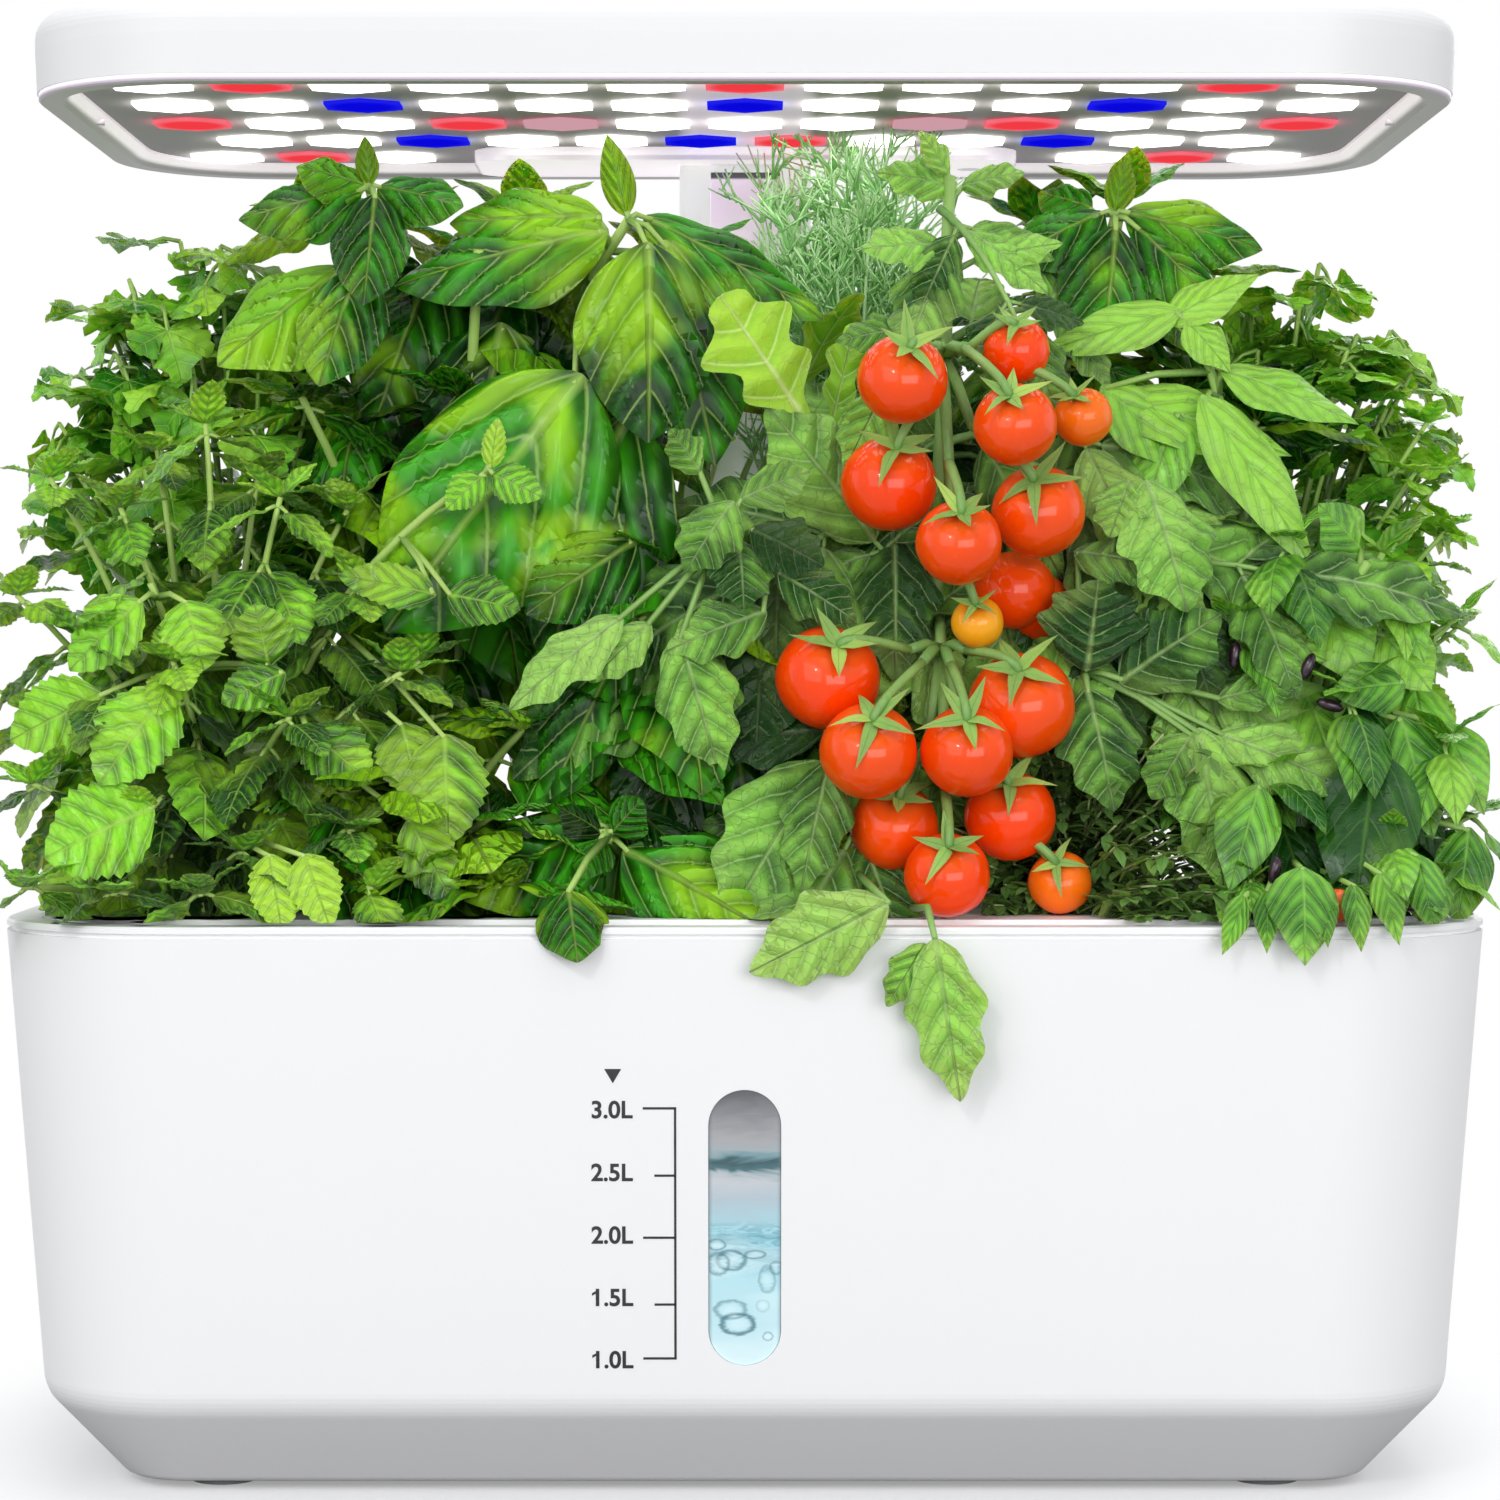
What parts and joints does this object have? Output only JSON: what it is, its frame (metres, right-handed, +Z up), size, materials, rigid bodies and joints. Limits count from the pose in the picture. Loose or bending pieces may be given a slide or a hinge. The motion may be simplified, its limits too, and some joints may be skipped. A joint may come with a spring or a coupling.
{
  "type": "countertop hydroponic garden",
  "caption": "Countertop hydroponic garden: water tank with level window, lift-out planted deck, pump, and a grow lamp that slides up a mast.",
  "frame": {"origin": "centre of the footprint on the surface that the rubber feet stand on", "axes": "+Z up, front with the level window towards -Y, +X to the right seen from the front"},
  "size_m": [0.27, 0.178, 0.268],
  "materials": {
    "white_shell": "satin moulded ABS",
    "white_lid": "satin moulded ABS",
    "window_clear": "clear moulded acrylic, wet inside",
    "gasket_rubber": "moulded silicone",
    "foot_rubber": "moulded rubber",
    "pin_steel": "drawn steel wire",
    "basket_white": "moulded polypropylene",
    "plug_foam": "moulded peat foam",
    "tomato_skin": "ripe tomato skin",
    "pump_black": "moulded ABS",
    "impeller_pom": "moulded acetal",
    "filter_foam": "open-cell foam",
    "mast_white": "extruded ABS",
    "slide_pom": "moulded acetal",
    "jack_black": "moulded nylon",
    "screw_steel": "zinc-plated steel",
    "cover_strip": "extruded glossy strip",
    "lamp_grey": "satin moulded ABS",
    "panel_grey": "glossy moulded polycarbonate",
    "lens_white": "lit diffusing lens, white light",
    "lens_red": "lit diffusing lens, red light",
    "lens_blue": "lit diffusing lens, blue light",
    "board_white": "white solder mask",
    "board_green": "green solder mask",
    "switch_black": "moulded",
    "button_white": "satin moulded",
    "leaf_mint": "crinkled leaf",
    "leaf_basil": "glossy leaf",
    "leaf_tomato": "downy leaf and stalk",
    "leaf_thyme": "small dark leaf",
    "leaf_pepper": "smooth leaf",
    "leaf_parsley": "smooth leaf",
    "leaf_rocket": "thin leaf",
    "leaf_dill": "fine threads"
  },
  "bodies": {
    "tank": {"tank": "white_shell", "gauge_window": "window_clear", "window_gasket": "gasket_rubber", "rubber_feet": "foot_rubber"},
    "deck": {"deck": "white_shell", "lid_hinge_pin": "pin_steel", "basket_1": "basket_white", "basket_2": "basket_white", "basket_3": "basket_white", "basket_4": "basket_white", "basket_5": "basket_white", "basket_6": "basket_white", "basket_7": "basket_white", "basket_8": "basket_white", "basket_9": "basket_white", "basket_10": "basket_white", "basket_11": "basket_white", "basket_12": "basket_white", "grow_plugs": "plug_foam", "plant_mint": "leaf_mint", "plant_low_basil": "leaf_basil", "plant_broad_basil": "leaf_basil", "plant_tomato": "leaf_tomato", "tomatoes": "tomato_skin", "plant_thyme": "leaf_thyme", "plant_pepper": "leaf_pepper", "plant_parsley_left": "leaf_parsley", "plant_tall_basil": "leaf_basil", "plant_rocket": "leaf_rocket", "plant_dill": "leaf_dill", "plant_back_basil": "leaf_basil", "plant_parsley_right": "leaf_parsley", "pump_hanger": "white_shell", "pump_housing": "pump_black", "pump_grille": "pump_black", "pump_foam": "filter_foam", "mast_foot": "white_shell", "mast": "mast_white", "guide_shoe": "slide_pom", "dc_jack": "jack_black", "foot_screws": "screw_steel"},
    "lid": {"filler_lid": "white_lid"},
    "impeller": {"pump_impeller": "impeller_pom"},
    "lamp": {"lamp_post": "white_shell", "post_cover_strip": "cover_strip", "post_bush": "slide_pom", "lamp_housing": "white_shell", "lamp_bezel": "lamp_grey", "light_panel": "panel_grey", "white_lenses": "lens_white", "red_lenses": "lens_red", "blue_lenses": "lens_blue", "led_board": "board_white", "driver_board": "board_green", "key_switches": "switch_black", "lamp_screws": "screw_steel"},
    "light_button": {"light_button": "button_white"},
    "pump_button": {"pump_button": "button_white"}
  },
  "joints": [
    {"name": "deck_lift", "type": "slide", "parent": "tank", "child": "deck", "axis": [0, 0, 1], "range_m": [0, 0.1]},
    {"name": "lid_hinge", "type": "hinge", "parent": "deck", "child": "lid", "pos_m": [-0.088, 0.0693, 0.1054], "axis": [-1, 0, 0], "range_deg": [0, 95]},
    {"name": "impeller_spin", "type": "hinge", "parent": "deck", "child": "impeller", "pos_m": [0, 0.0419, 0.012], "axis": [0, 0, 1], "continuous": true},
    {"name": "lamp_lift", "type": "slide", "parent": "deck", "child": "lamp", "axis": [0, 0, 1], "range_m": [0, 0.095]},
    {"name": "light_press", "type": "slide", "parent": "lamp", "child": "light_button", "axis": [0, 0, -1], "range_m": [0, 0.0008], "stiffness_N_per_m": 600, "springref_m": -0.0008},
    {"name": "pump_press", "type": "slide", "parent": "lamp", "child": "pump_button", "axis": [0, 0, -1], "range_m": [0, 0.0008], "stiffness_N_per_m": 600, "springref_m": -0.0008}
  ]
}
